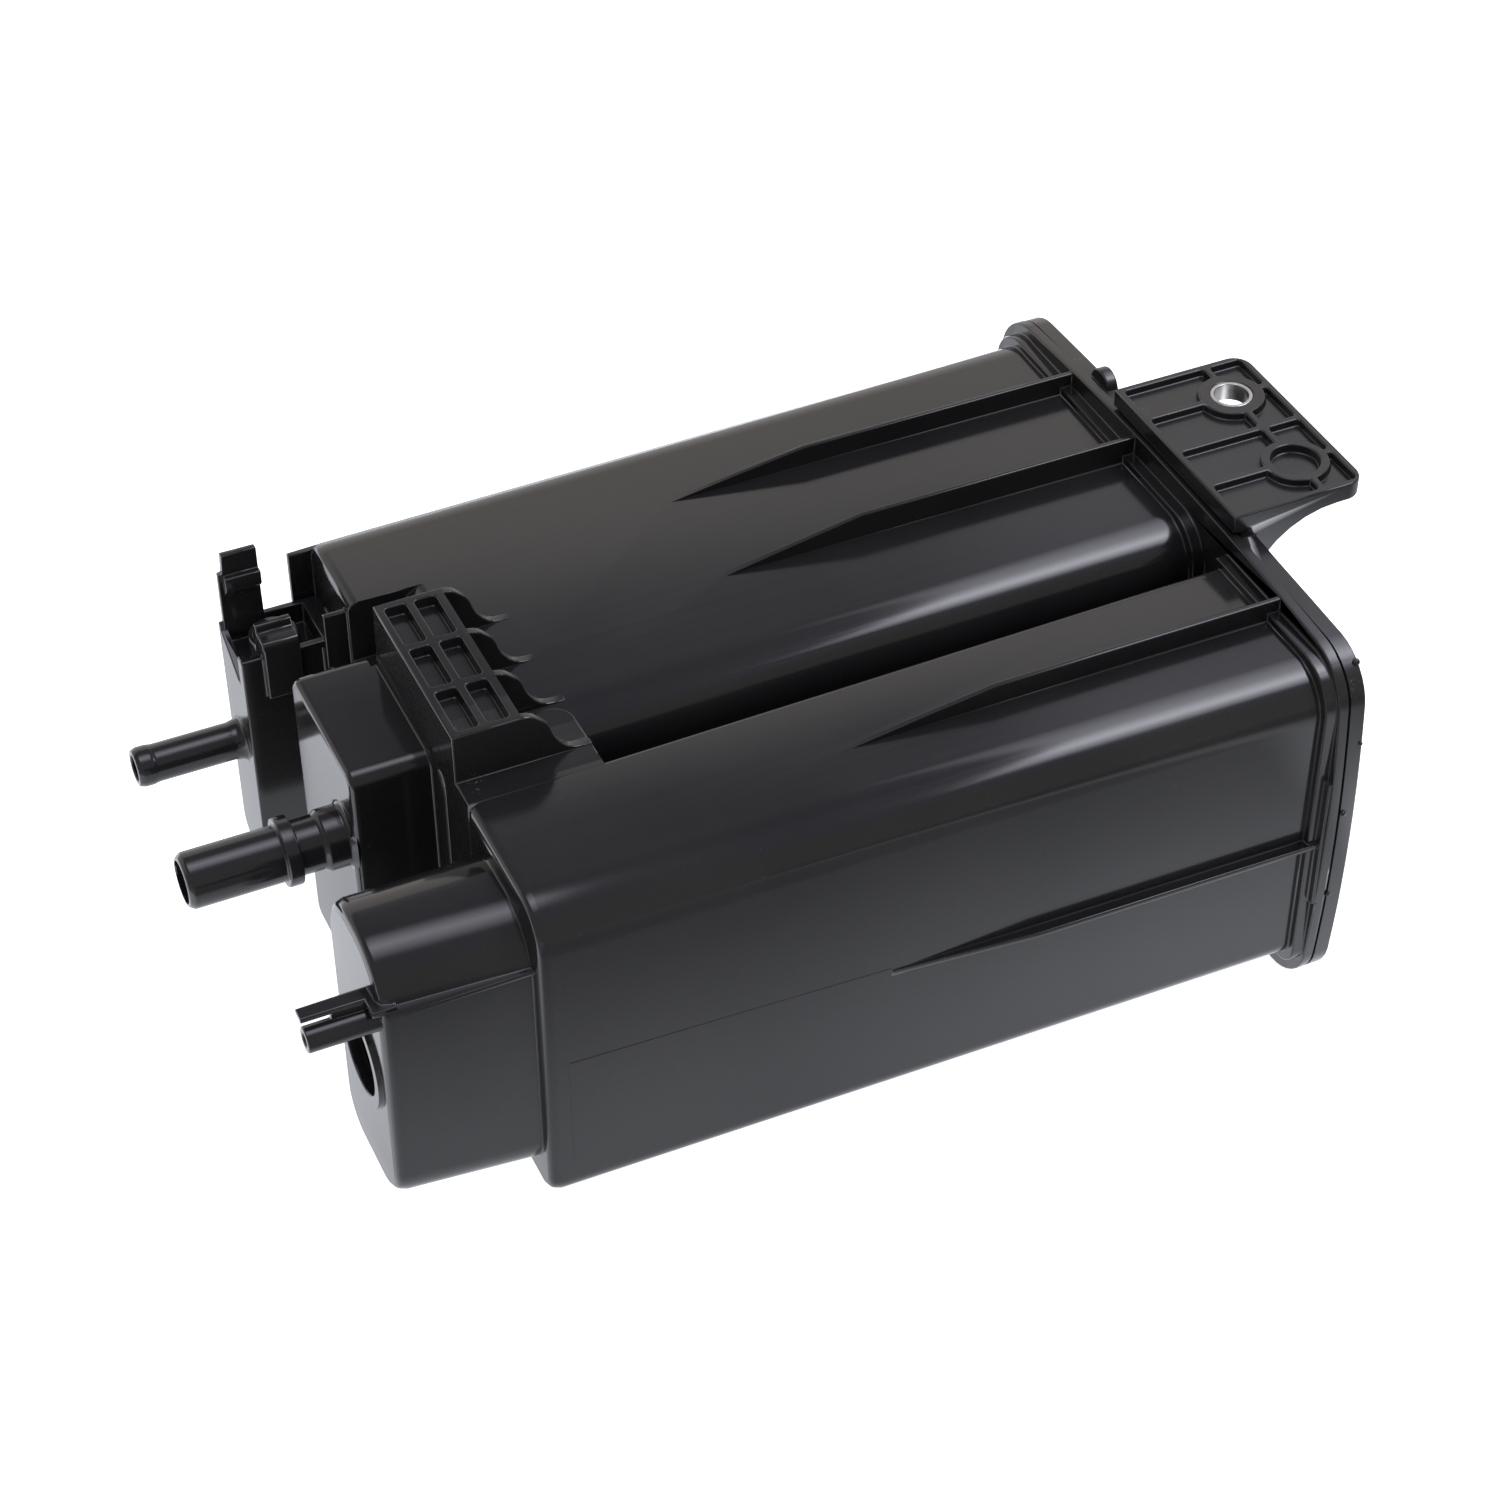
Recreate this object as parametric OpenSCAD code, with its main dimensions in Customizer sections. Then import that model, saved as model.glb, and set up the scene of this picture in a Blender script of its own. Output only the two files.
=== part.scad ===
// Fuel vapour canister: one moulded housing with two carbon chambers, a welded end cover with a bracket,
// a steel bushing, and the packed beds, pads, plates and springs inside.
// Local datum: X=0 is the front face of the rear flange, Z=0 is mid height. The frame_* values move it
// so that the finished part stands on Z=0 with its box centred over the origin.

/* [Body] */
// length of the chambers ahead of the flange
body_len = 204; // [170:1:240]
// half height of both chambers
body_half_h = 45.8; // [40:0.2:52]
// wall thickness of the chambers
wall = 2.5; // [1.8:0.1:3]
// radius of the upper outer long edges
edge_r = 12; // [8:0.5:16]
// radius of the bottom long edges
low_r = 6; // [3:0.5:10]
// radius of the second chamber's edges at the gap
gap_r = 1.6; // [0.5:0.1:3]
// rounding of the front edges
front_r = 3; // [1.5:0.5:5]
// main chamber, far side at the front
main_far_front = 77; // [70:0.5:82]
// main chamber, far side at the flange
main_far_rear = 81; // [74:0.5:84]
// main chamber, gap side at the front
main_gap_front = -23; // [-28:0.5:-18]
// main chamber, gap side at the flange
main_gap_rear = -21; // [-26:0.5:-16]
// second chamber, gap side at the front
second_gap_front = -37; // [-42:0.5:-32]
// second chamber, gap side at the flange
second_gap_rear = -33.4; // [-38:0.5:-30]
// second chamber, near side at the front
second_near_front = -80.6; // [-84:0.2:-72]
// second chamber, near side at the flange
second_near_rear = -83.5; // [-88:0.5:-75]
// length of the deck that bridges the gap at the front
bridge_len = 34.5; // [24:0.5:48]
// thickness of that deck
deck_t = 4; // [2.5:0.5:6]
// corner radius of the deck over the main chamber
deck_r = 5; // [2:0.5:8]

/* [Flange] */
// flange reach past the main chamber
flange_far_over = 7; // [5:0.5:12]
// flange reach past the second chamber
flange_near_over = 4.5; // [3.5:0.5:10]
// flange crest over the chamber tops
flange_top_over = 7.7; // [5:0.1:12]
// lowest flange line under the chamber bottoms
flange_low_over = 11.7; // [5:0.1:16]
// rise of the crowned top edge
crown_top = 4; // [0:0.5:6]
// rise of the crowned bottom edge
crown_low = 1.6; // [0:0.2:4]
// rise of the crowned side edges
crown_side = 3.2; // [0:0.2:5]
// how much flatter the cover's top edge is
cover_flat = 1.6; // [0:0.2:3]
// flange corner radius
flange_r = 12; // [8:0.5:16]
// housing flange thickness
flange_t = 3.4; // [3:0.2:6]
// collar ahead of the flange, length
collar_len = 3.2; // [2:0.2:6]
// collar rise over the chamber wall
collar_rise = 2; // [1:0.2:3]
// width of the shadow line between flange and cover
seam_w = 0.7; // [0.4:0.1:1.2]
// depth of the shadow line
seam_d = 0.9; // [0.4:0.1:1.5]
// weld pad on the near flange edge, thickness
weld_pad_t = 0.9; // [0.4:0.1:2]
// weld pad width
weld_pad_w = 4; // [3:0.5:8]
// weld pad top and bottom around mid height
weld_pad_z = [-24, 16];

/* [Ribs] */
// rib thickness
rib_t = 1.5; // [0.8:0.1:2]
// start of the rib ramps ahead of the flange
rib_start = 115.5; // [100:0.5:130]
// end of the rib ramps ahead of the flange
rib_full = 78; // [60:0.5:90]
// height of the outer ribs under the flange crest
rib_low = 2; // [1:0.1:4]
// height of the middle rib under the flange crest
rib_high = 0.7; // [0.3:0.1:2]
// far rib, inside the main chamber's far side
rib_far_in = 32.6; // [20:0.2:45]
// middle rib, inside the main chamber's gap side
rib_mid_in = 36; // [20:0.2:45]
// near rib, inside the second chamber's gap side
rib_near_in = 22.8; // [12:0.2:30]
// height of the side fins relative to mid height
fin_z = -5; // [-10:0.5:5]
// reach of the side fins
fin_reach = 3; // [1:0.2:3.4]

/* [Lattice lug] */
// length along the body
lug_len = 17.8; // [14:0.2:24]
// far side of the lug
lug_far = 23.4; // [18:0.2:30]
// near side of the lug
lug_near = -29.8; // [-34:0.2:-24]
// height over the chamber tops
lug_h = 13.6; // [8:0.2:18]
// wall thickness of the lug
lug_wall = 2.2; // [1.5:0.1:3]
// pocket depth
lug_pocket = 3; // [2:0.5:8]
// pockets across
lug_cells = 3; // [2:1:4]
// pocket corner radius
pocket_r = 1; // [0.5:0.1:2]
// reach of the curved tails behind the lug
tail_reach = 17; // [8:0.5:22]

/* [Notch] */
// far side of the front notch beside the lug
notch_far = 43; // [38:0.5:48]
// length of the notch
notch_len = 16.6; // [8:0.2:17]
// depth of the notch under the chamber top
notch_depth = 18; // [10:0.5:22]

/* [Tank port block] */
// block depth ahead of the front wall
mid_len = 20; // [14:0.5:26]
// far side of the block
mid_far = 29; // [24:0.5:34]
// near side of the block
mid_near = -14; // [-18:0.5:-10]
// top of the block under the chamber top
mid_drop = 4.3; // [2:0.1:8]
// bottom of the block over the chamber bottom
mid_lift = 8.8; // [4:0.2:14]
// edge rounding of the block
mid_r = 4; // [2:0.5:6]
// front edge rounding of the block
mid_front_r = 2; // [0.5:0.1:3]
// tank port outer diameter
tank_od = 14; // [12:0.1:16]
// tank port bore
tank_bore = 10.8; // [8:0.1:11.5]
// tank port place across
tank_y = -5.5; // [-8:0.1:0]
// tank port height
tank_z = 18; // [10:0.1:24]
// tank port reach ahead of its block
tank_reach = 40.5; // [34:0.5:50]
// tip chamfer of the tank port
tank_tip_len = 1.2; // [0.6:0.1:2]
// stop collar diameter
tank_collar_od = 17.2; // [16.5:0.1:19]
// stop collar thickness
tank_collar_t = 3.6; // [2:0.1:5]
// distance of the collar behind the tip
tank_collar_at = 24; // [16:0.5:26]
// neck diameter behind the collar
tank_neck_od = 13.6; // [12.5:0.1:15]
// root boss diameter
tank_boss_od = 15.4; // [15:0.1:18]
// root boss length
tank_boss_len = 7; // [4:0.5:9]

/* [Purge port tower] */
// tower depth ahead of the front wall
tower_len = 26; // [22:0.5:30]
// far side of the tower inside the chamber's far side
tower_in = 6.8; // [4:0.2:10]
// tower width
tower_w = 18.8; // [16:0.2:22]
// top of the tower rim under the chamber top
tower_drop = 16.3; // [12:0.1:22]
// bottom of the tower over the chamber bottom
tower_lift = 5.8; // [2:0.2:10]
// rim wall of the tower
rim_t = 1.8; // [1.2:0.1:2.5]
// depth of the recess inside the rim
rim_h = 6; // [4:0.5:8]
// socket bore in the tower top
socket_d = 10; // [8:0.2:11]
// wall round the socket
socket_wall = 1.5; // [1:0.1:2]
// socket depth under the recess
socket_depth = 9; // [6:0.5:12]
// purge tube diameter
purge_od = 9.9; // [8:0.1:11]
// purge tube bore
purge_bore = 6.8; // [4:0.1:7.4]
// diameter of the hose bulge
purge_bulge = 10.5; // [10:0.1:12]
// purge tube place inside the tower's far side
purge_in = 9; // [7:0.1:11]
// purge tube height
purge_z = -2.2; // [-8:0.1:4]
// purge tube reach ahead of the tower
purge_reach = 28.4; // [20:0.2:36]
// height of the far snap finger over the rim
finger_h = 21; // [14:0.5:26]
// width of the snap fingers
finger_w = 9.4; // [6:0.2:12]
// plate thickness of the snap fingers
finger_t = 2; // [1.4:0.1:3]
// drop of the near finger outside the tower
finger_drop = 12; // [6:0.5:16]
// hook height
hook_h = 6; // [3:0.2:8]

/* [Nose] */
// nose length ahead of the front wall
nose_len = 35.6; // [28:0.2:44]
// near side inside the second chamber's near side
nose_near_in = 4; // [2:0.2:10]
// far side inside the second chamber's gap side
nose_far_in = 2.2; // [1.6:0.2:8]
// top under the chamber top
nose_drop = 6.2; // [3:0.2:12]
// bottom over the chamber bottom
nose_lift = 5.8; // [3:0.2:12]
// top corner radius
nose_r = 15; // [10:0.5:17]
// bottom corner radius
nose_low_r = 11; // [6:0.5:14]
// side draft over the length
nose_draft = 1.8; // [0:0.2:3]
// vent bore
vent_d = 20.4; // [16:0.2:24]
// vent height
vent_z = -1.5; // [-6:0.5:6]
// wall of the vent ring
vent_ring_wall = 3.3; // [2:0.1:5]
// vent ring rise
vent_ring_h = 1; // [0.5:0.1:2]
// split pin length
pin_len = 16.6; // [12:0.2:24]
// split pin prong diameter
pin_d = 6.4; // [5:0.2:8]
// split pin height
pin_z = 22.6; // [20:0.2:26]
// slit between prong and blade
pin_slit = 1.6; // [0.5:0.1:2]
// blade thickness
blade_t = 1.5; // [1.2:0.1:3]
// blade width
blade_w = 3.8; // [3:0.2:8]
// length of the open slit
slit_len = 7; // [3:0.5:12]

/* [End cover] */
// cover rim thickness
cover_t = 4.2; // [3.5:0.1:6]
// rise of the rear pan
pan_rise = 4; // [2:0.5:6]
// inset of the rear pan
pan_inset = 14; // [12:0.5:18]
// wall of the pan
pan_wall = 2.6; // [2:0.1:4]
// rib height on the pan
pan_rib_h = 1.4; // [0.6:0.1:3]
// round lobe beside the bracket, place across
lobe_y = 41; // [36:0.5:46]
// round lobe diameter
lobe_d = 9.4; // [6:0.2:12]
// bracket plate length
bracket_len = 38.2; // [34:0.2:46]
// bracket front behind the flange front face
bracket_front = 1; // [0.4:0.1:2]
// bracket near side
bracket_near = -32.4; // [-38:0.2:-30]
// bracket far side
bracket_far = 28; // [26:0.2:34]
// air between the bracket and the housing flange
bracket_gap = 0.3; // [0.2:0.1:1]
// bracket plate thickness
bracket_t = 5; // [4:0.1:7]
// rim and rib width of the bracket pockets
bracket_rib = 1.9; // [1.5:0.1:4]
// bracket pocket depth
bracket_pocket = 2; // [1.5:0.1:3.6]
// rear corner radius of the bracket
bracket_r = 5; // [2:0.5:8]
// depth of the curved gussets under the bracket
gusset_drop = 22; // [12:0.5:30]
// plain bracket end behind those gussets
gusset_short = 8; // [4:0.5:14]
// ring centres behind the flange front face
ring_x = 27.3; // [25:0.1:30]
// bolt ring place across
ring_bolt_y = 13.4; // [10:0.1:16]
// blind ring place across
ring_blind_y = -17.8; // [-21:0.1:-15]
// ring outer diameter
ring_od = 17.4; // [15:0.1:20]
// blind recess diameter
blind_d = 12.6; // [10:0.1:14]
// blind recess depth under the pockets
blind_extra = 0.4; // [0.2:0.1:2]

/* [Bushing] */
// bushing bore
bushing_id = 9; // [8.2:0.1:9.4]
// bushing outer diameter
bushing_od = 11; // [10.4:0.1:12]
// bushing length
bushing_len = 5; // [4:0.5:8]

/* [Packing] */
// clearance round the loose inner pieces
fit_gap = 0.4; // [0.3:0.1:1]
// filter pad thickness
pad_t = 4; // [2:0.5:8]
// retainer plate thickness
plate_t = 3; // [2:0.2:5]
// retainer hole diameter
plate_hole = 5; // [3:0.5:7]
// retainer hole spacing
plate_pitch = 11; // [8:0.5:16]
// plain border of the retainer plates
plate_border = 7; // [5:0.5:12]
// spring outer diameter
spring_d = 18; // [12:0.5:22]
// spring wire diameter
spring_wire = 1.4; // [1:0.1:2]
// pressed spring length
spring_len = 14; // [10:0.5:20]
// spring turns
spring_turns = 4; // [3:1:6]
// outer main springs, inside the chamber's sides
spring_side_in = 21; // [16:0.5:26]
// second chamber's springs, inside its top and bottom
spring_end_in = 23.8; // [16:0.2:30]
// spring seat height on the cover
seat_h = 3; // [1.5:0.5:5]
// free space between vent opening and dust pad
vent_room = 8; // [4:0.5:14]

/* [Hidden] */
black = [0.05, 0.05, 0.055];
steel = [0.7, 0.69, 0.67];
fleece = [0.55, 0.54, 0.5];
carbon = [0.03, 0.03, 0.03];
skin = 0.02; // thickness of the slices that a hull spans
sink = 0.5; // how far fused forms run into each other
run = 1; // how far cuts run out
round_n = 64;
front_x = -body_len;
flange_near = second_near_rear - flange_near_over;
flange_far = main_far_rear + flange_far_over;
flange_half_w = (flange_far - flange_near) / 2;
flange_mid = (flange_far + flange_near) / 2;
flange_top = body_half_h + flange_top_over;
flange_low = body_half_h + flange_low_over;
cover_rear = flange_t + cover_t;
pan_floor = cover_rear + pan_rise - pan_wall;
bracket_rear = bracket_front + bracket_len;
bracket_low = flange_top + bracket_gap;
bracket_top = bracket_low + bracket_t;
ring_low = bracket_top - bushing_len;
mid_face = front_x - mid_len;
tank_tip = mid_face - tank_reach;
tower_face = front_x - tower_len;
tower_far = main_far_front - tower_in;
tower_near = tower_far - tower_w;
tower_top = body_half_h - tower_drop;
tower_low = tower_lift - body_half_h;
recess_z = tower_top - rim_h;
tail_shape = [[0, 1], [0.1, 0.975], [0.18, 0.93], [0.27, 0.83], [0.355, 0.715], [0.395, 0.6], [0.425, 0.47],
  [0.47, 0.34], [0.55, 0.2], [0.65, 0.09], [0.75, 0.03], [0.87, 0.008], [1, 0]]; // shoulder, drop and flare
socket_x = front_x - tower_len / 2 - 1.5;
socket_y = tower_far - tower_w / 2;
purge_y = tower_far - purge_in;
purge_tip = tower_face - purge_reach;
nose_face = front_x - nose_len;
nose_near = second_near_front + nose_near_in;
nose_far = second_gap_front - nose_far_in;
vent_y = (nose_near + nose_draft + nose_far) / 2;
lug_top = body_half_h + lug_h;
bed_front = front_x + max(lug_len, notch_len) + wall;
plenum_top = body_half_h - notch_depth - wall;
plate_rear = pan_floor - spring_len;
rear_pad_x = plate_rear - plate_t - pad_t;
second_front = front_x + wall;
main_mid = (main_gap_rear + main_far_rear) / 2;
second_mid = (second_gap_rear + second_near_rear) / 2;
frame_x = -(tank_tip + bracket_rear) / 2;
frame_y = -flange_mid;
frame_z = flange_low;

// corner arc of an outline
function arc(c, r, a0, n) = [for (i = [0:n]) c + r * [cos(a0 + 90 * i / n), sin(a0 + 90 * i / n)]];
// rounded outline in Y and Z; radii: far top, near top, near bottom, far bottom
function outline(y0, y1, z0, z1, r, n = 8) = concat(
  arc([y1 - r[0], z1 - r[0]], r[0], 0, n),
  arc([y0 + r[1], z1 - r[1]], r[1], 90, n),
  arc([y0 + r[2], z0 + r[2]], r[2], 180, n),
  arc([y1 - r[3], z0 + r[3]], r[3], 270, n));
// points between two corners, without the ends
function between(a, b, n) = [for (i = [1:n - 1]) a + (b - a) * i / n];
function ring_of(w, h, r, n, m) = concat(
  arc([w - r, h - r], r, 0, n), between([w - r, h], [r - w, h], m),
  arc([r - w, h - r], r, 90, n), between([-w, h - r], [-w, r - h], m),
  arc([r - w, r - h], r, 180, n), between([r - w, -h], [w - r, -h], m),
  arc([w - r, r - h], r, 270, n), between([w, r - h], [w, h - r], m));
// bends the straight sides of a ring outwards
function bow(p, w, h, top, low) = [
  p[0] + sign(p[0]) * crown_side * (1 - pow(p[1] / h, 2)) * abs(p[0]) / w,
  p[1] + (p[1] > 0 ? top : -low) * (1 - pow(p[0] / w, 2)) * abs(p[1]) / h];
// crowned flange outline, shrunk by s, with the top crest lowered by d
function flange_pts(s, d = 0) = let(
  w = flange_half_w - crown_side - s,
  top = flange_top - crown_top - s,
  low = flange_low - crown_low - s,
  h = (top + low) / 2,
  r = flange_r - min(s, flange_r - 2))
  [for (p = ring_of(w, h, r, 8, 10))
    bow(p, w, h, crown_top - d, crown_low) + [flange_mid, (top - low) / 2]];
function mixed(a, b, t) = a + (b - a) * t;
// chamber outlines at a place along the body, shrunk by s
function main_pts(x, s) = let(t = (x - front_x) / body_len, r = low_r - min(s, low_r - 1)) outline(
  mixed(main_gap_front, main_gap_rear, t) + s, mixed(main_far_front, main_far_rear, t) - s,
  s - body_half_h, body_half_h - s, [edge_r - s, edge_r - s, r, r]);
function second_pts(x, s) = let(t = (x - front_x) / body_len, r = low_r - min(s, low_r - 1)) outline(
  mixed(second_near_front, second_near_rear, t) + s, mixed(second_gap_front, second_gap_rear, t) - s,
  s - body_half_h, body_half_h - s, [gap_r, edge_r - s, r, gap_r]);
// nose outline, t from 0 at the root to 1 at the face
function nose_pts(t, s) = let(d = nose_draft * t) outline(nose_near + d + s, nose_far - s,
  nose_lift - body_half_h + d + s, body_half_h - nose_drop - s,
  [nose_r - s, nose_r - s, nose_low_r - s, nose_low_r - s]);
// tail outline from [x, high] over a reach down to low
function tail_pts(x, low, high, reach) = [for (p = tail_shape)
  [x + reach * p[0], low + (high - low) * p[1]]];
// main chamber springs first, then those of the second chamber
function spring_spots() = [[main_far_rear - spring_side_in, 0], [main_mid, 0],
  [main_gap_rear + spring_side_in, 0], [second_mid, body_half_h - spring_end_in],
  [second_mid, spring_end_in - body_half_h]];

// slice across the body from x, thickness t
module slab(x, t, pts) {
  translate([x, 0, 0]) rotate([90, 0, 90]) linear_extrude(height = t) polygon(pts);
}
// upright profile in X and Z, from y over a width
module panel(y, w, pts) {
  translate([0, y + w, 0]) rotate([90, 0, 0]) linear_extrude(height = w) polygon(pts);
}
// flat profile in X and Y, from z over a height
module sheet(z, h, pts) {
  translate([0, 0, z]) linear_extrude(height = h) polygon(pts);
}
// box from corner to corner
module block(a, b) {
  translate(a) cube(b - a);
}
// round bar along X
module rod(x, y, z, len, d) {
  translate([x, y, z]) rotate([0, 90, 0]) cylinder(h = len, d = d, $fn = round_n);
}
// tapered bar along X
module cone(x, y, z, len, d1, d2) {
  translate([x, y, z]) rotate([0, 90, 0]) cylinder(h = len, d1 = d1, d2 = d2, $fn = round_n);
}
// pocket with rounded corners, cut from above
module pocket(x0, x1, y0, y1, z, h) {
  r = pocket_r;
  block([x0 + r, y0, z], [x1 - r, y1, z + h]);
  block([x0, y0 + r, z], [x1, y1 - r, z + h]);
  for (x = [x0 + r, x1 - r])
    for (y = [y0 + r, y1 - r])
      translate([x, y, z]) cylinder(h = h, r = r, $fn = 24);
}

// drafted chambers with a rounded front edge
module main_outer() {
  hull() {
    slab(front_x, skin, main_pts(front_x, front_r * 0.75));
    slab(front_x + front_r * 0.3, skin, main_pts(front_x, front_r * 0.25));
    slab(front_x + front_r, skin, main_pts(front_x, 0));
    slab(-skin, skin, main_pts(0, 0));
  }
}
module second_outer() {
  hull() {
    slab(front_x, skin, second_pts(front_x, front_r * 0.75));
    slab(front_x + front_r * 0.3, skin, second_pts(front_x, front_r * 0.25));
    slab(front_x + front_r, skin, second_pts(front_x, 0));
    slab(-skin, skin, second_pts(0, 0));
  }
}
module nose_outer() {
  hull() {
    slab(nose_face, skin, nose_pts(1, front_r * 0.75));
    slab(nose_face + front_r * 0.3, skin, nose_pts(1, front_r * 0.25));
    slab(nose_face + front_r, skin, nose_pts(1, 0));
    slab(front_x + wall, skin, nose_pts(0, 0));
  }
}
module main_void() {
  hull() {
    slab(bed_front, skin, main_pts(bed_front, wall));
    slab(flange_t, skin, main_pts(0, wall));
  }
}
module second_void() {
  hull() {
    slab(second_front, skin, second_pts(front_x, wall));
    slab(flange_t, skin, second_pts(0, wall));
  }
}
module nose_void() {
  hull() {
    slab(nose_face + wall, skin, nose_pts(1, wall));
    slab(second_front + skin, skin, nose_pts(0, wall));
  }
}

// deck and walls that join the chambers at the front
module bridge() {
  rear = front_x + bridge_len;
  near = second_gap_front - run;
  deck_far = main_gap_front + edge_r - 3;
  sheet(body_half_h - deck_t, deck_t, concat([[front_x + sink, near], [rear, near]],
    arc([rear - deck_r, deck_far - deck_r], deck_r, 0, 8), [[front_x + sink, deck_far]]));
  for (x = [front_x + sink, rear - wall])
    block([x, near, low_r - body_half_h], [x + wall, main_gap_front + run, body_half_h - sink]);
}

// ribs that grow towards the flange, on top and bottom
module long_rib(y, top, low) {
  root = body_half_h - sink;
  panel(y - rib_t / 2, rib_t, [[-rib_start, root], [sink, root], [sink, top], [-rib_full, top],
    [-rib_start, body_half_h]]);
  panel(y - rib_t / 2, rib_t, [[-rib_start, -root], [sink, -root], [sink, -low], [-rib_full, -low],
    [-rib_start, -body_half_h]]);
}
module long_ribs() {
  low = flange_low - crown_low - rib_low;
  long_rib(main_far_rear - rib_far_in, flange_top - rib_low, low);
  long_rib(main_gap_rear + rib_mid_in, flange_top - rib_high, low);
  long_rib(second_gap_rear - rib_near_in, flange_top - rib_low, low);
}
module side_fin(front, rear, out) {
  start = mixed(rear, front, rib_start / body_len);
  full = mixed(rear, front, rib_full / body_len) + out * fin_reach;
  sheet(fin_z - rib_t / 2, rib_t, [[-rib_start, start - out * sink], [-rib_start, start], [-rib_full, full],
    [sink, rear + out * fin_reach], [sink, rear - out * sink]]);
}
module flange_plate() {
  up = body_half_h + collar_rise;
  slab(0, flange_t - seam_w, flange_pts(0));
  slab(flange_t - seam_w - skin, seam_w + skin, flange_pts(seam_d));
  slab(-collar_len, collar_len + sink, outline(main_gap_rear - collar_rise, main_far_rear + collar_rise,
    -up, up, [edge_r, edge_r, low_r, low_r]));
  slab(-collar_len, collar_len + sink, outline(second_near_rear - collar_rise,
    second_gap_rear + collar_rise, -up, up, [gap_r, edge_r, low_r, gap_r]));
  block([-weld_pad_t, flange_near + sink, weld_pad_z[0]], [sink, flange_near + weld_pad_w, weld_pad_z[1]]);
}

// ribbed lug with an S shaped tail behind each long wall
module lug() {
  x0 = front_x + sink;
  x1 = front_x + lug_len;
  pitch_y = (lug_far - lug_near - lug_wall) / lug_cells;
  pitch_x = (x1 - x0 - lug_wall) / 2;
  root = body_half_h - sink;
  difference() {
    block([x0, lug_near, root - deck_t], [x1, lug_far, lug_top]);
    for (i = [0:lug_cells - 1])
      for (j = [0:1])
        pocket(x0 + lug_wall + j * pitch_x, x0 + (j + 1) * pitch_x, lug_near + lug_wall + i * pitch_y,
          lug_near + (i + 1) * pitch_y, lug_top - lug_pocket, lug_pocket + run);
  }
  for (i = [0:lug_cells])
    panel(lug_near + i * pitch_y, lug_wall, concat([[x1 - sink, root], [x1 - sink, lug_top]],
      tail_pts(x1, body_half_h, lug_top, tail_reach), [[x1 + tail_reach, root]]));
}
// notch beside the lug, with a curved rear end
module notch() {
  low = body_half_h - notch_depth;
  x1 = front_x + notch_len;
  ramp = [[x1 - 5, low], [x1 - 3.4, low + 3], [x1 - 2.8, body_half_h - 8], [x1 - 2.2, body_half_h - 4.6],
    [x1 - 1, body_half_h - 2.2], [x1 + 1.2, body_half_h - 0.6]];
  panel(lug_far + skin, notch_far - lug_far, concat([[front_x - run, low]], ramp,
    [[x1 + 3.4, body_half_h + skin], [x1 + 3.4, body_half_h + run], [front_x - run, body_half_h + run]]));
}

// block outline, shrunk by s
function mid_pts(s) = outline(mid_near + s, mid_far - s, mid_lift - body_half_h + s,
  body_half_h - mid_drop - s, (mid_r - s) * [1, 1, 1, 1]);
module mid_block() {
  e = mid_front_r;
  hull() {
    slab(mid_face, skin, mid_pts(e * 0.75));
    slab(mid_face + e * 0.3, skin, mid_pts(e * 0.25));
    slab(mid_face + e, mid_len - e + run, mid_pts(0));
  }
}
module tank_port() {
  step = 1;
  cone(tank_tip, tank_y, tank_z, tank_tip_len, tank_od - 2 * tank_tip_len / 1.2, tank_od);
  rod(tank_tip + tank_tip_len, tank_y, tank_z, tank_collar_at - tank_tip_len, tank_od);
  rod(tank_tip + tank_collar_at, tank_y, tank_z, tank_collar_t, tank_collar_od);
  rod(tank_tip + tank_collar_at, tank_y, tank_z, tank_reach - tank_collar_at + sink, tank_neck_od);
  cone(mid_face - tank_boss_len, tank_y, tank_z, step, tank_neck_od, tank_boss_od);
  rod(mid_face - tank_boss_len + step, tank_y, tank_z, tank_boss_len - step + sink, tank_boss_od);
  cone(mid_face - step, tank_y, tank_z, step + sink, tank_boss_od, tank_boss_od + 3 * step);
}
module purge_port() {
  lead = 1.6;
  crest = 2.2;
  fall = 1.8;
  flare = 1.5;
  cone(purge_tip, purge_y, purge_z, lead, purge_od - 0.4, purge_bulge);
  rod(purge_tip + lead, purge_y, purge_z, crest, purge_bulge);
  cone(purge_tip + lead + crest, purge_y, purge_z, fall, purge_bulge, purge_od);
  bulge_end = lead + crest + fall;
  rod(purge_tip + bulge_end, purge_y, purge_z, purge_reach - bulge_end + sink, purge_od);
  cone(tower_face - 2 * flare, purge_y, purge_z, 2 * flare + sink, purge_od, purge_od + flare);
  cone(tower_face - flare, purge_y, purge_z, flare + sink, purge_od, purge_od + 2 * flare);
}

// tower with a recessed top, a socket and a notched front rim
module tower() {
  difference() {
    slab(tower_face, tower_len + wall,
      outline(tower_near, tower_far, tower_low, tower_top, [0.6, 0.6, 4, 6], 4));
    block([tower_face + rim_t, tower_near + rim_t, recess_z],
      [front_x - wall - rim_t, tower_far - rim_t, tower_top + run]);
    slab(tower_face - run, rim_t + 2 * run, [[tower_near + 2 * rim_t, tower_top - rim_h - 3],
      [tower_near + 3 * rim_t, tower_top - rim_h - 3], [tower_far - rim_t, tower_top - rim_t],
      [tower_far - rim_t, tower_top + run], [tower_near + 2 * rim_t, tower_top + run]]);
  }
  translate([socket_x, socket_y, recess_z - sink])
    cylinder(h = rim_h, d = socket_d + 2 * socket_wall, $fn = round_n);
}
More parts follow.
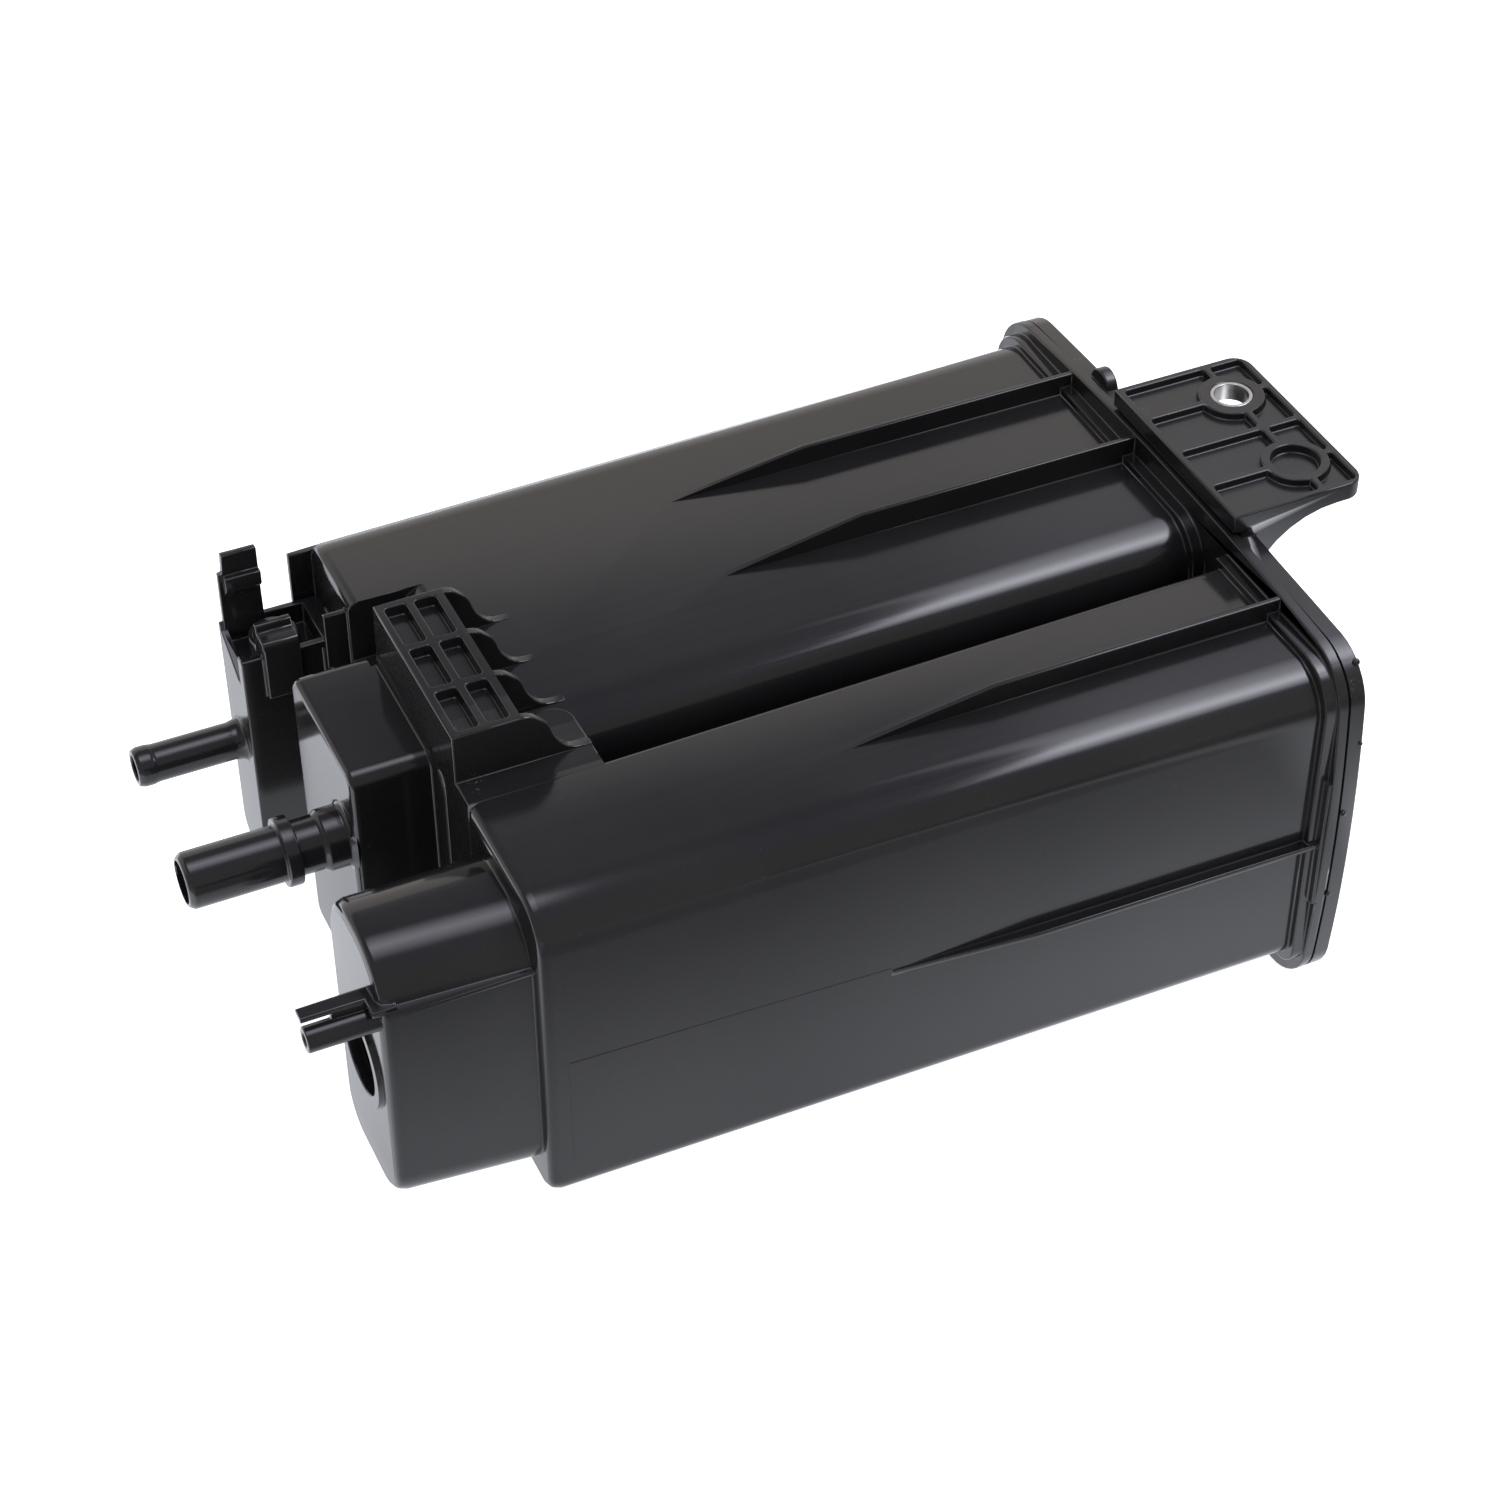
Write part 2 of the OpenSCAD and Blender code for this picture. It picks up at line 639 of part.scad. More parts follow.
module webs() {
  x0 = front_x - 6;
  x1 = front_x + wall;
  shelf = tower_top - rim_h / 2;
  for (y = [tower_near - 7.4, main_far_front - tower_in + 0.8])
    block([x0, y, shelf], [x1, y + rim_t, body_half_h - front_r]);
  block([x0 + run, tower_near - 7.4, tower_low + 6], [x1, tower_near + run, shelf + run]);
  block([x0 + run, tower_far - run, tower_low + 6], [x1, tower_far + 0.8 + rim_t, shelf + run]);
}
// far finger with a hook, near finger folded over the rim
module fingers() {
  x_far = tower_face + 2.2;
  x_near = tower_face + 5.6;
  tip = tower_top + finger_h;
  hook = tip - hook_h;
  root = tower_top - 2 * rim_t;
  y_in = tower_far - finger_t;
  slab(x_far, finger_w, [[tower_far, root], [tower_far, tip], [y_in, tip], [y_in, hook],
    [y_in - finger_t, hook], [y_in - finger_t, hook - hook_h + finger_t], [y_in, hook - hook_h],
    [y_in, root]]);
  block([x_far - 1.2, y_in, root], [x_far + sink, tower_far - 0.4, hook + sink]);
  y0 = tower_near - finger_t;
  head = tower_top + 5;
  slab(x_near, finger_w, [[y0, tower_top - finger_drop], [tower_near + 0.2, tower_top - finger_drop],
    [tower_near + 0.2, tower_top - 1], [y0 + 6, tower_top - 1], [y0 + 6, recess_z - sink],
    [y0 + 6 + finger_t, recess_z - sink], [y0 + 6 + finger_t, head + finger_t], [y0 + 6.2, head + finger_t],
    [y0 + 5.6, head], [y0 + 1.2, head], [y0, head - 2]]);
}
// split pin on the nose face and the fin that carries its blade along the nose
module split_pin() {
  x0 = nose_face - pin_len;
  y0 = nose_near + nose_draft + pin_d / 2 + run;
  z1 = pin_z + pin_d / 2 + pin_slit;
  near = y0 + 0.3;
  difference() {
    rod(x0, y0, pin_z, pin_len + wall - sink, pin_d);
    rod(x0 - run, y0, pin_z, 4, pin_d / 2);
  }
  block([x0 - sink, near, z1], [nose_face + 4, near + blade_w, z1 + blade_t]);
  block([x0 + slit_len, near, pin_z], [nose_face + wall - sink, near + 2, z1 + sink]);
  block([nose_face - 2 * run, nose_near + run, z1], [nose_face + 4, near + run, z1 + blade_t]);
  block([nose_face + run, nose_near - 0.9, z1], [front_x + sink, nose_near + 3, z1 + run]);
}

module housing() {
  ring_x0 = nose_face - vent_ring_h;
  color(black) translate([frame_x, frame_y, frame_z]) difference() {
    union() {
      main_outer();
      second_outer();
      nose_outer();
      bridge();
      flange_plate();
      long_ribs();
      side_fin(second_near_front, second_near_rear, -1);
      side_fin(main_far_front, main_far_rear, 1);
      mid_block();
      tank_port();
      tower();
      webs();
      purge_port();
      fingers();
      split_pin();
      rod(ring_x0, vent_y, vent_z, vent_ring_h + run, vent_d + 2 * vent_ring_wall);
      lug();
    }
    main_void();
    second_void();
    nose_void();
    notch();
    block([front_x + wall, main_gap_front + 2 * wall, low_r + wall - body_half_h],
      [bed_front + run, tower_far - wall, plenum_top]);
    block([mid_face + wall, mid_near + wall, mid_lift + wall - body_half_h],
      [front_x + wall + run, mid_far - wall, plenum_top]);
    block([tower_face + wall, tower_near + wall, tower_low + 2 * wall],
      [front_x + wall + run, tower_far - wall, recess_z - socket_depth - wall]);
    rod(tank_tip - run, tank_y, tank_z, tank_reach + wall + 2 * run, tank_bore);
    rod(purge_tip - run, purge_y, purge_z, purge_reach + wall + 2 * run, purge_bore);
    rod(ring_x0 - run, vent_y, vent_z, wall + vent_ring_h + 2 * run, vent_d);
    translate([socket_x, socket_y, recess_z - socket_depth])
      cylinder(h = socket_depth + rim_h + 4 * run, d = socket_d, $fn = round_n);
  }
}

// bracket plate on the cover rim, with pockets and two rings
module bracket() {
  half = bracket_rib / 2;
  deep = bracket_top - bracket_pocket;
  mid_y = (ring_bolt_y + ring_blind_y) / 2;
  xs = [bracket_front + bracket_rib, ring_x - half, ring_x + half, bracket_rear - bracket_rib];
  ys = [bracket_near + bracket_rib, ring_blind_y - half, ring_blind_y + half, mid_y - half, mid_y + half,
    ring_bolt_y - half, ring_bolt_y + half, bracket_far - bracket_rib];
  difference() {
    union() {
      difference() {
        union() {
          block([bracket_front, bracket_near, bracket_low],
            [bracket_rear - bracket_r, bracket_far, bracket_top]);
          block([bracket_rear - bracket_r - skin, bracket_near + bracket_r, bracket_low],
            [bracket_rear, bracket_far - bracket_r, bracket_top]);
          for (y = [bracket_near + bracket_r, bracket_far - bracket_r])
            translate([bracket_rear - bracket_r, y, bracket_low])
              cylinder(h = bracket_t, r = bracket_r, $fn = 48);
        }
        for (i = [0, 2])
          for (j = [0:2:6])
            pocket(xs[i], xs[i + 1], ys[j], ys[j + 1], deep, bracket_pocket + run);
      }
      for (y = [ring_bolt_y, ring_blind_y])
        translate([ring_x, y, ring_low]) cylinder(h = bushing_len, d = ring_od, $fn = round_n);
      for (y = [bracket_near, bracket_far - bracket_rib, mid_y - half])
        gusset(y);
      block([flange_t, bracket_near, flange_top - 6], [cover_rear, bracket_far, bracket_low + sink]);
    }
    translate([ring_x, ring_bolt_y, ring_low - run])
      cylinder(h = bushing_len + 2 * run, d = bushing_od, $fn = round_n);
    translate([ring_x, ring_blind_y, deep - blind_extra])
      cylinder(h = bushing_len, d = blind_d, $fn = round_n);
  }
}
// web under the bracket with a hollow curved edge
module gusset(y) {
  reach = bracket_rear - cover_rear - gusset_short;
  x0 = cover_rear - run;
  edge = [for (i = [0:8]) [cover_rear + reach * (1 - cos(90 * i / 8)),
    bracket_low - gusset_drop * (1 - sin(90 * i / 8))]];
  panel(y, bracket_rib, concat([[x0, bracket_low + sink], [x0, bracket_low - gusset_drop]], edge,
    [[cover_rear + reach, bracket_low + sink]]));
}
// shallow stiffening ribs on the rear pan
module pan_ribs() {
  x0 = cover_rear + pan_rise - sink;
  w = flange_half_w - crown_side - pan_inset - pan_wall;
  low = pan_inset + pan_wall - flange_low;
  top = flange_top - crown_top - pan_inset - pan_wall;
  x1 = x0 + pan_rib_h + sink;
  for (y = [for (i = [-2:2]) flange_mid + i * w / 2.6])
    block([x0, y - rib_t / 2, low], [x1, y + rib_t / 2, top]);
  for (z = [low + (top - low) / 3, low + (top - low) * 2 / 3])
    block([x0, flange_mid - w, z - rib_t / 2], [x1, flange_mid + w, z + rib_t / 2]);
}
module end_cover() {
  seat_d = spring_d - 2 * spring_wire - 1;
  color(black) translate([frame_x, frame_y, frame_z]) {
    difference() {
      union() {
        slab(flange_t, cover_t, flange_pts(0, cover_flat));
        slab(cover_rear - skin, pan_rise + skin, flange_pts(pan_inset));
        rod(flange_t + run, lobe_y, flange_top - rib_low - run, cover_t - run, lobe_d);
      }
      slab(flange_t - run, pan_floor - flange_t + run, flange_pts(pan_inset + pan_wall));
    }
    pan_ribs();
    for (p = spring_spots())
      rod(pan_floor - seat_h, p[0], p[1], seat_h + sink, seat_d);
    bracket();
  }
}
module bushing() {
  color(steel) translate([frame_x + ring_x, frame_y + ring_bolt_y, frame_z + ring_low]) difference() {
    cylinder(h = bushing_len, d = bushing_od, $fn = round_n);
    translate([0, 0, -run]) cylinder(h = bushing_len + 2 * run, d = bushing_id, $fn = round_n);
  }
}

// slices of a chamber filling, x0 to x1
module main_fill(x0, x1) {
  hull() {
    slab(x0, skin, main_pts(x0, wall + fit_gap));
    slab(x1 - skin, skin, main_pts(x1, wall + fit_gap));
  }
}
module second_fill(x0, x1) {
  hull() {
    slab(x0, skin, second_pts(x0, wall + fit_gap));
    slab(x1 - skin, skin, second_pts(x1, wall + fit_gap));
  }
}
module plate_holes(y0, y1) {
  ny = floor((y1 - y0 - 2 * plate_border) / plate_pitch / 2);
  nz = floor((body_half_h - wall - plate_border) / plate_pitch);
  for (i = [-ny:ny])
    for (j = [-nz:nz])
      rod(plate_rear - plate_t - run, (y0 + y1) / 2 + i * plate_pitch, j * plate_pitch,
        plate_t + 2 * run, plate_hole);
}
module main_front_pad() {
  color(fleece) translate([frame_x, frame_y, frame_z]) main_fill(bed_front, bed_front + pad_t);
}
module main_bed() {
  color(carbon) translate([frame_x, frame_y, frame_z]) main_fill(bed_front + pad_t, rear_pad_x);
}
module main_rear_pad() {
  color(fleece) translate([frame_x, frame_y, frame_z]) main_fill(rear_pad_x, rear_pad_x + pad_t);
}
module main_plate() {
  color(black) translate([frame_x, frame_y, frame_z]) difference() {
    main_fill(plate_rear - plate_t, plate_rear);
    plate_holes(main_gap_rear + wall, main_far_rear - wall);
  }
}
module second_front_pad() {
  color(fleece) translate([frame_x, frame_y, frame_z]) second_fill(second_front, second_front + pad_t);
}
module second_bed() {
  color(carbon) translate([frame_x, frame_y, frame_z]) second_fill(second_front + pad_t, rear_pad_x);
}
module second_rear_pad() {
  color(fleece) translate([frame_x, frame_y, frame_z]) second_fill(rear_pad_x, rear_pad_x + pad_t);
}
module second_plate() {
  color(black) translate([frame_x, frame_y, frame_z]) difference() {
    second_fill(plate_rear - plate_t, plate_rear);
    plate_holes(second_near_rear + wall, second_gap_rear - wall);
  }
}

// pressed coil between plate and cover, as stacked turns joined by short bars
module spring(p) {
  pitch = (spring_len - spring_wire) / spring_turns;
  r = (spring_d - spring_wire) / 2;
  color(steel) translate([frame_x + plate_rear, frame_y + p[0], frame_z + p[1]]) {
    for (i = [0:spring_turns])
      translate([spring_wire / 2 + i * pitch, 0, 0]) rotate([0, 90, 0]) rotate_extrude($fn = 48)
        translate([r, 0]) circle(d = spring_wire, $fn = 16);
    for (i = [0:spring_turns - 1])
      rotate([180 * (i % 2), 0, 0]) translate([spring_wire / 2 + i * pitch, r, 0])
        rotate([0, 90, 0]) cylinder(h = pitch, d = spring_wire, $fn = 16);
  }
}
module main_spring_far() {
  spring(spring_spots()[0]);
}
module main_spring_mid() {
  spring(spring_spots()[1]);
}
module main_spring_near() {
  spring(spring_spots()[2]);
}
module second_spring_top() {
  spring(spring_spots()[3]);
}
module second_spring_low() {
  spring(spring_spots()[4]);
}
module vent_pad() {
  color(fleece) translate([frame_x, frame_y, frame_z]) hull() {
    slab(nose_face + wall + vent_room, skin, nose_pts(1, wall + fit_gap));
    slab(front_x - skin, skin, nose_pts(0, wall + fit_gap));
  }
}

housing();
end_cover();
bushing();
main_front_pad();
main_bed();
main_rear_pad();
main_plate();
main_spring_far();
main_spring_mid();
main_spring_near();
second_front_pad();
second_bed();
second_rear_pad();
second_plate();
second_spring_top();
second_spring_low();
vent_pad();
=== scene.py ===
import math

import bmesh
import bpy
import numpy as np
from mathutils import Matrix, Vector


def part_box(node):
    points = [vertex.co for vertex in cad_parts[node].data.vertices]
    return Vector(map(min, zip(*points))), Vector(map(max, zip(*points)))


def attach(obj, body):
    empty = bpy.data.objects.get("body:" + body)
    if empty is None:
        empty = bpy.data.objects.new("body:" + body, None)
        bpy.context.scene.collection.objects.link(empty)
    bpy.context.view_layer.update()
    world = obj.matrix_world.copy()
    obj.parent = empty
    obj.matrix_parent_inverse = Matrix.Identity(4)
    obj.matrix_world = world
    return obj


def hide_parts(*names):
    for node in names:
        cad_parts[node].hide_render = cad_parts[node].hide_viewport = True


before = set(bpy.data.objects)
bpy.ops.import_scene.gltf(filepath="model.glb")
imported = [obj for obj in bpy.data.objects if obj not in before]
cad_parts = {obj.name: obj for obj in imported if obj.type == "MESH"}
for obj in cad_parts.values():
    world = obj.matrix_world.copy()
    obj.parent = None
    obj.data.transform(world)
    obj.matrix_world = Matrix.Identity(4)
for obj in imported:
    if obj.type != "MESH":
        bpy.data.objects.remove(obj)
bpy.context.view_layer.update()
mm = 0.001
print("frame loaded:", len(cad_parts), "nodes")

# helpers for node trees


def newMaterial(name):
    material = bpy.data.materials.new(name)
    material.use_nodes = True
    tree = material.node_tree
    return material, tree, tree.nodes["Principled BSDF"]


# links sockets and sets plain values
def setInputs(tree, node, inputs):
    for key, value in inputs.items():
        if hasattr(value, "links"):
            tree.links.new(value, node.inputs[key])
        else:
            node.inputs[key].default_value = value


def addNode(tree, kind, settings=None, inputs=None):
    node = tree.nodes.new(kind)
    for key, value in (settings or {}).items():
        setattr(node, key, value)
    setInputs(tree, node, inputs or {})
    return node


def objectCoords(tree, scale=(1, 1, 1)):
    coords = addNode(tree, "ShaderNodeTexCoord")
    mapped = addNode(tree, "ShaderNodeMapping", inputs={"Vector": coords.outputs["Object"], "Scale": scale})
    return mapped.outputs[0]


def split(tree, vector):
    return addNode(tree, "ShaderNodeSeparateXYZ", inputs={"Vector": vector}).outputs


def maths(tree, operation, *values):
    return addNode(tree, "ShaderNodeMath", {"operation": operation}, dict(enumerate(values))).outputs[0]


# one value out of several, two at a time
def folded(tree, operation, values):
    total, *others = values
    for value in others:
        total = maths(tree, operation, total, value)
    return total


def noise(tree, coords, settings):
    return addNode(tree, "ShaderNodeTexNoise", inputs={"Vector": coords, **settings}).outputs["Fac"]


def ranged(tree, value, source=(0.0, 1.0), target=(0.0, 1.0), course="LINEAR"):
    node = addNode(tree, "ShaderNodeMapRange", {"interpolation_type": course}, {
        "Value": value, "From Min": source[0], "From Max": source[1],
        "To Min": target[0], "To Max": target[1]})
    return node.outputs[0]


def grey(value):
    return (value, value, value)


def colourRamp(tree, factor, stops):
    ramp = addNode(tree, "ShaderNodeValToRGB", inputs={"Fac": factor})
    while len(ramp.color_ramp.elements) < len(stops):
        ramp.color_ramp.elements.new(0.5)
    for element, (place, colour) in zip(ramp.color_ramp.elements, stops):
        element.position = place
        element.color = (*colour, 1)
    return ramp.outputs["Color"]


def step(tree, factor, edge, first=grey(0), second=grey(1)):
    return colourRamp(tree, factor, [(edge[0], first), (edge[1], second)])


def mixedColour(tree, factor, first, second):
    node = addNode(tree, "ShaderNodeMix", {"data_type": "RGBA"}, {"Factor": factor, 6: first, 7: second})
    return node.outputs[2]


# one shader for most rays and another for one kind of them
def byRay(tree, kind, usual, special):
    rays = addNode(tree, "ShaderNodeLightPath")
    node = addNode(tree, "ShaderNodeMixShader", inputs={0: rays.outputs[kind], 1: usual, 2: special})
    return node.outputs[0]


# satin black moulded plastic

plastic = {
    "dark": (0.0108, 0.0108, 0.0117),
    "worn": (0.0152, 0.0150, 0.0150),
    "cloudNoise": {"Scale": 22.0, "Detail": 5.0},
    "cloudEdge": (0.35, 0.75),
    "dust": (0.030, 0.030, 0.029, 1),
    "dustNoise": {"Scale": 900.0, "Detail": 2.0},
    "dustEdge": (0.74, 0.80),
    "streakStretch": (4, 330, 330),  # long along the body
    "streakNoise": {"Scale": 3.0, "Detail": 3.0},
    "streakShare": 0.6,
    "cloudShare": 0.4,
    "patternRange": (0.3, 0.7),
    "roughRange": (0.10, 0.15),
    "flangeEdge": (111.6 * mm, 112.4 * mm),
    "flangeRough": 0.07,
    "streakBump": 0.006,
    "streakDepth": 0.1 * mm,
    "lengthwise": 0.65,
    "specular": 0.5,
    "scuffed": (0.10, 0.098, 0.094, 1),
    "scuffNoise": {"Scale": 1100.0, "Detail": 3.0},
    "scuffEdge": (0.58, 0.68),
    "scuffRough": 0.25,
    "scuffReach": 3.5 * mm,
    "scuffSpots": [(-88, -24, 112), (-69, -24, 112), (-87, -32, 103), (117, 54, 108), (117, 40, 108),
                   (117, 20, 116), (118, -84, 100)],
    "crown": 0.9,
    "crownFall": 0.022,
    "crownLines": [(0.0295, 0.050), (-0.058, 0.022)],
}


# slight crown of each chamber's top face, as a moulding has it
def crownHeight(tree):
    across = split(tree, objectCoords(tree))["Y"]
    falls = []
    for middle, halfWidth in plastic["crownLines"]:
        apart = maths(tree, "ABSOLUTE", maths(tree, "SUBTRACT", across, middle))
        kept = maths(tree, "MINIMUM", apart, halfWidth)
        square = maths(tree, "MULTIPLY", kept, kept)
        falls.append(maths(tree, "MULTIPLY", square, -plastic["crownFall"] / halfWidth))
    return folded(tree, "ADD", falls)


def makePlastic(name):
    material, tree, shader = newMaterial(name)
    place = objectCoords(tree)
    streaks = noise(tree, objectCoords(tree, plastic["streakStretch"]), plastic["streakNoise"])
    clouds = noise(tree, place, plastic["cloudNoise"])
    body = step(tree, clouds, plastic["cloudEdge"], plastic["dark"], plastic["worn"])
    dust = step(tree, noise(tree, place, plastic["dustNoise"]), plastic["dustEdge"])
    dusty = mixedColour(tree, dust, body, plastic["dust"])
    # pale specks where the lug, the flange and the bracket were rubbed
    closeness = []
    for spot in plastic["scuffSpots"]:
        apart = addNode(tree, "ShaderNodeVectorMath", {"operation": "DISTANCE"}, {
            0: place, 1: [value * mm for value in spot]})
        closeness.append(ranged(tree, apart.outputs["Value"], (plastic["scuffReach"], 0.0)))
    rubbed = step(tree, noise(tree, place, plastic["scuffNoise"]), plastic["scuffEdge"])
    wear = maths(tree, "MULTIPLY", folded(tree, "MAXIMUM", closeness), rubbed)
    pattern = maths(tree, "MULTIPLY_ADD", streaks, plastic["streakShare"],
                    maths(tree, "MULTIPLY", clouds, plastic["cloudShare"]))
    rough = ranged(tree, pattern, plastic["patternRange"], plastic["roughRange"])
    # the welded flange and the cover are duller than the chambers
    duller = ranged(tree, split(tree, place)["X"], plastic["flangeEdge"], (0.0, plastic["flangeRough"]))
    rougher = maths(tree, "MULTIPLY_ADD", wear, plastic["scuffRough"], maths(tree, "ADD", rough, duller))
    crowned = addNode(tree, "ShaderNodeBump", inputs={
        "Height": crownHeight(tree), "Strength": 1.0, "Distance": plastic["crown"]})
    bump = addNode(tree, "ShaderNodeBump", inputs={
        "Height": streaks, "Strength": plastic["streakBump"], "Distance": plastic["streakDepth"],
        "Normal": crowned.outputs[0]})
    # polished along the body, so gloss spreads across it
    around = addNode(tree, "ShaderNodeTangent", {"direction_type": "RADIAL", "axis": "X"})
    setInputs(tree, shader, {
        "Base Color": mixedColour(tree, wear, dusty, plastic["scuffed"]),
        "Roughness": rougher,
        "Normal": bump.outputs[0],
        "Tangent": around.outputs[0],
        "Anisotropic": plastic["lengthwise"],
        "Specular IOR Level": plastic["specular"]})
    return material


# bright zinc of the sleeve and the springs

zinc = {
    "colour": (0.47, 0.46, 0.44, 1),
    "ringStretch": (300, 300, 2500),
    "ringNoise": {"Scale": 1.0, "Detail": 3.0},
    "roughRange": (0.2, 0.42),
}


def makeZinc(name):
    material, tree, shader = newMaterial(name)
    rings = noise(tree, objectCoords(tree, zinc["ringStretch"]), zinc["ringNoise"])
    setInputs(tree, shader, {
        "Roughness": ranged(tree, rings, target=zinc["roughRange"]),
        "Base Color": zinc["colour"],
        "Metallic": 1.0})
    return material


# the packing's plates, fleece and carbon

grainy = {"detail": 4.0, "edge": (0.35, 0.65), "bump": 0.5, "depth": 0.4 * mm}


def makeGrainy(name, dark, light, scale, roughness):
    material, tree, shader = newMaterial(name)
    grain = noise(tree, objectCoords(tree), {"Scale": scale, "Detail": grainy["detail"]})
    bump = addNode(tree, "ShaderNodeBump", inputs={
        "Height": grain, "Strength": grainy["bump"], "Distance": grainy["depth"]})
    setInputs(tree, shader, {
        "Base Color": step(tree, grain, grainy["edge"], dark, light),
        "Normal": bump.outputs[0],
        "Roughness": roughness})
    return material


blackPlastic = makePlastic("blackMouldedPlastic")
zincSteel = makeZinc("brightZinc")
greyPlastic = makeGrainy("greyPlatePlastic", (0.012, 0.012, 0.013), (0.02, 0.02, 0.021),
                         scale=300.0, roughness=0.55)
fleeceFelt = makeGrainy("fleeceFelt", (0.16, 0.155, 0.14), (0.36, 0.35, 0.32), scale=700.0, roughness=0.95)
carbonGrain = makeGrainy("carbonGranules", grey(0.004), grey(0.02), scale=420.0, roughness=0.7)
springWire = makeZinc("springWire")
print("materials made")

# helpers for objects


def linked(name, data):
    obj = bpy.data.objects.new(name, data)
    bpy.context.scene.collection.objects.link(obj)
    return obj


# turns an object's modifiers into its own mesh
def bake(obj):
    depsgraph = bpy.context.evaluated_depsgraph_get()
    baked = bpy.data.meshes.new_from_object(obj.evaluated_get(depsgraph))
    obj.modifiers.clear()
    obj.data = baked


def paint(mesh, material):
    mesh.materials.clear()
    mesh.materials.append(material)


# moulded pieces: the CAD forms with softened edges

moulded = {
    "mergeDistance": 0.004 * mm,
    "cleanDistance": 0.001 * mm,
    "keySteps": 1e6,
    "tiny": 1e-9,
    "flatAngle": math.radians(0.4),
    "edgeAngle": math.radians(34),
    "smoothAngle": math.radians(52),
    "edgeWidth": 0.45 * mm,
    "sleeveWidth": 0.25 * mm,
    "thinPatch": 2.4,
    "roundPull": 0.6,
    "longestReach": 1.5,
    "freeShare": 0.38,
    "heldReach": 0.03,
    "aheadCone": 0.5,
    "shallowSeam": 0.5,
    "longFacet": 2 * mm,
    "filledSides": 4,
}

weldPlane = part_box("housing")[1][0]


def placeKey(point):
    return tuple(round(value * moulded["keySteps"]) for value in point)


# faces joined by anything but open edges, with their mean width
def facePatches(work):
    patches, seen = [], set()
    for first in work.faces:
        if first in seen:
            continue
        patch, rimLength = [first], 0.0
        seen.add(first)
        for face in patch:
            for edge in face.edges:
                if edge.is_boundary:
                    rimLength += edge.calc_length()
                for other in edge.link_faces:
                    if other not in seen:
                        seen.add(other)
                        patch.append(other)
        area = sum(face.calc_area() for face in patch)
        patches.append((patch, 2 * area / max(rimLength, moulded["tiny"])))
    return patches


def edgeLines(edges):
    starts = np.array([edge.verts[0].co for edge in edges]).reshape(-1, 3)
    return starts, np.array([edge.verts[1].co for edge in edges]).reshape(-1, 3) - starts


# free way ahead of a rim point, inside its own patch
def clearAhead(place, way, starts, spans):
    share = np.clip(((place - starts) * spans).sum(1) / (spans ** 2).sum(1), 0, 1)
    gaps = starts + spans * share[:, None] - place
    far = np.linalg.norm(gaps, axis=1)
    ahead = far[gaps @ way > moulded["aheadCone"] * far + moulded["tiny"]]
    return ahead.min() if len(ahead) else math.inf


# directions of the facet lines that run from a rim point into its patch
def facetSeams(vert):
    inside = [edge for edge in vert.link_edges if not edge.is_boundary
              and edge.calc_face_angle(0) > moulded["flatAngle"]]
    return [(edge.other_vert(vert).co - vert.co).normalized() for edge in inside]


# moves each band's inner line to its even distance, flat on the patch and clear of the other rim
def settleBands(work, width, guides, facetLines):
    pulls, held = {}, set()
    for patch, across in facePatches(work):
        edges = dict.fromkeys(edge for face in patch for edge in face.edges)
        rims = [edge for edge in edges if edge.is_boundary]
        if not rims:
            continue
        starts, spans = (np.concatenate(pair) for pair in zip(edgeLines(rims), facetLines))
        for vert in dict.fromkeys(end for edge in rims for end in edge.verts):
            for edge in vert.link_edges:
                inner = edge.other_vert(vert)
                if edge.is_boundary or inner.is_boundary or across < moulded["thinPatch"] * width:
                    continue
                reach = inner.co - vert.co
                flat, seams = guides.get(vert) or guides.get(inner)
                way = (reach - flat * reach.dot(flat)).normalized()
                seam = max(seams, key=way.dot, default=way)
                if seam.dot(way) < moulded["shallowSeam"]:
                    held.add(placeKey(vert.co))
                    inner.co = vert.co + way * moulded["heldReach"] * width
                    continue
                free = clearAhead(np.array(vert.co), np.array(seam), starts, spans)
                inner.co = vert.co + seam * min(
                    reach.length, moulded["longestReach"] * width, moulded["freeShare"] * free)
                pulls.setdefault(placeKey(vert.co), []).append(inner.co.copy())
    return {key: targets for key, targets in pulls.items() if key not in held}


# rounds every sharp edge: patches are cut apart, get a narrow band inside their rim, are joined again,
# and the rim is pulled towards the bands; the weld seam stays as it is
def roundEdges(work, width):
    sharp = [edge for edge in work.edges if len(edge.link_faces) == 2
             and edge.calc_face_angle(0) > moulded["edgeAngle"]
             and not all(abs(end.co.x - weldPlane) < moulded["mergeDistance"] for end in edge.verts)]
    bmesh.ops.split_edges(work, edges=sharp)
    work.normal_update()
    guides = {vert: (vert.normal.copy(), facetSeams(vert)) for vert in work.verts if vert.is_boundary}
    facetLines = edgeLines([edge for edge in work.edges if not edge.is_boundary
                            and edge.calc_face_angle(0) > moulded["flatAngle"]
                            and edge.calc_length() > moulded["longFacet"]])
    wide = [face for patch, across in facePatches(work) if across > moulded["thinPatch"] * width
            for face in patch]
    bmesh.ops.inset_region(work, faces=wide, thickness=width, use_even_offset=True, use_boundary=True)
    pulls = settleBands(work, width, guides, facetLines)
    rimVerts = [vert for vert in work.verts if vert.is_boundary]
    bmesh.ops.remove_doubles(work, verts=rimVerts, dist=moulded["cleanDistance"])
    for vert in work.verts:
        targets = pulls.get(placeKey(vert.co), [])
        if len(targets) > 1:
            vert.co = vert.co.lerp(sum(targets, Vector()) / len(targets), moulded["roundPull"])


